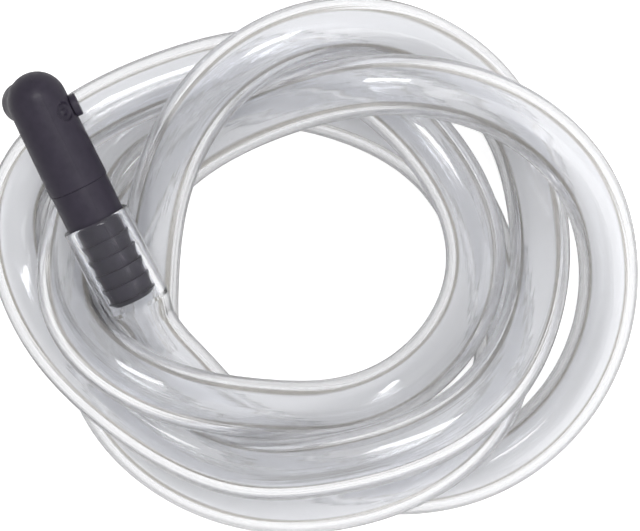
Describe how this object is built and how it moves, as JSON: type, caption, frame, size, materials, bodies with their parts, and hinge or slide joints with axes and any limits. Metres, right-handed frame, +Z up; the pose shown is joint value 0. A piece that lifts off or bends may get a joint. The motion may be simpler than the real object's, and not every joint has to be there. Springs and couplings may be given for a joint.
{
  "type": "siphon hose with swivelling elbow nozzle",
  "caption": "Coiled clear siphon hose with a black barbed nozzle body and an elbow head that swivels on it.",
  "frame": {"origin": "on the surface the coil lies on, straight below the centre of the nozzle body's shoulder", "axes": "+Z up out of the surface, X and Y in the surface, along the coil's long and short sides"},
  "size_m": [0.206, 0.17, 0.0624],
  "materials": {
    "black_plastic": "satin injection-moulded black plastic",
    "black_rubber": "matte black rubber",
    "clear_vinyl": "glossy clear flexible vinyl tubing"
  },
  "bodies": {
    "hose_and_body": {"hose_coil": "clear_vinyl", "hose_lead": "clear_vinyl", "swivel_body": "black_plastic", "o_ring": "black_rubber"},
    "elbow": {"elbow_head": "black_plastic", "retaining_pin": "black_plastic"}
  },
  "joints": [
    {"name": "head_swivel", "type": "hinge", "parent": "hose_and_body", "child": "elbow", "pos_m": [0, 0, 0.046], "axis": [-0.4222, 0.8891, 0.1771], "continuous": true}
  ]
}
